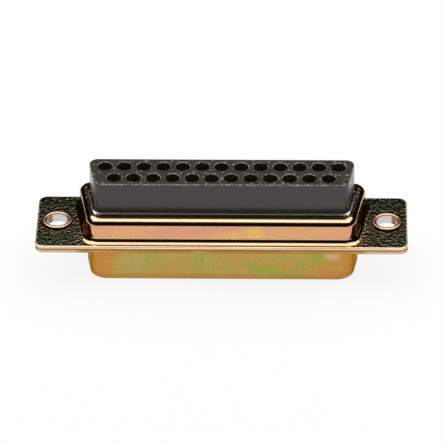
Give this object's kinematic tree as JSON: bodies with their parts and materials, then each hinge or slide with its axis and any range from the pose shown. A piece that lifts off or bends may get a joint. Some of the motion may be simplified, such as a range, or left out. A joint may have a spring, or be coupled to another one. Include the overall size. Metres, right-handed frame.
{
  "type": "d-sub crimp connector socket",
  "caption": "Two-row D-shaped crimp connector: drawn metal shells with a mounting flange round a moulded insulator with open round contact cavities.",
  "frame": {"origin": "middle of the panel face of the front flange, midway between the two mounting holes", "axes": "+X along the rows of cavities, +Y to the wide side of the D and the longer row, +Z to the wire side; the mating face looks to -Z"},
  "size_m": [0.0528, 0.0126, 0.0158],
  "materials": {
    "chromate_sheet": "drawn steel sheet, zinc plated, yellow chromate, bright with green and pink bloom",
    "black_moulding": "glass-filled polyester, moulded, satin charcoal black",
    "chromate_eyelet": "turned brass tube, rolled and swaged, thin yellow chromate",
    "clip_spring_metal": "copper alloy spring strip, as rolled"
  },
  "bodies": {
    "root": {"front_shell": "chromate_sheet", "rear_shell": "chromate_sheet", "front_insulator": "black_moulding", "rear_insulator": "black_moulding", "eyelet_left": "chromate_eyelet", "eyelet_right": "chromate_eyelet", "contact_clip_01": "clip_spring_metal", "contact_clip_02": "clip_spring_metal", "contact_clip_03": "clip_spring_metal", "contact_clip_04": "clip_spring_metal", "contact_clip_05": "clip_spring_metal", "contact_clip_06": "clip_spring_metal", "contact_clip_07": "clip_spring_metal", "contact_clip_08": "clip_spring_metal", "contact_clip_09": "clip_spring_metal", "contact_clip_10": "clip_spring_metal", "contact_clip_11": "clip_spring_metal", "contact_clip_12": "clip_spring_metal", "contact_clip_13": "clip_spring_metal", "contact_clip_14": "clip_spring_metal", "contact_clip_15": "clip_spring_metal", "contact_clip_16": "clip_spring_metal", "contact_clip_17": "clip_spring_metal", "contact_clip_18": "clip_spring_metal", "contact_clip_19": "clip_spring_metal", "contact_clip_20": "clip_spring_metal", "contact_clip_21": "clip_spring_metal", "contact_clip_22": "clip_spring_metal", "contact_clip_23": "clip_spring_metal", "contact_clip_24": "clip_spring_metal", "contact_clip_25": "clip_spring_metal"}
  },
  "joints": []
}
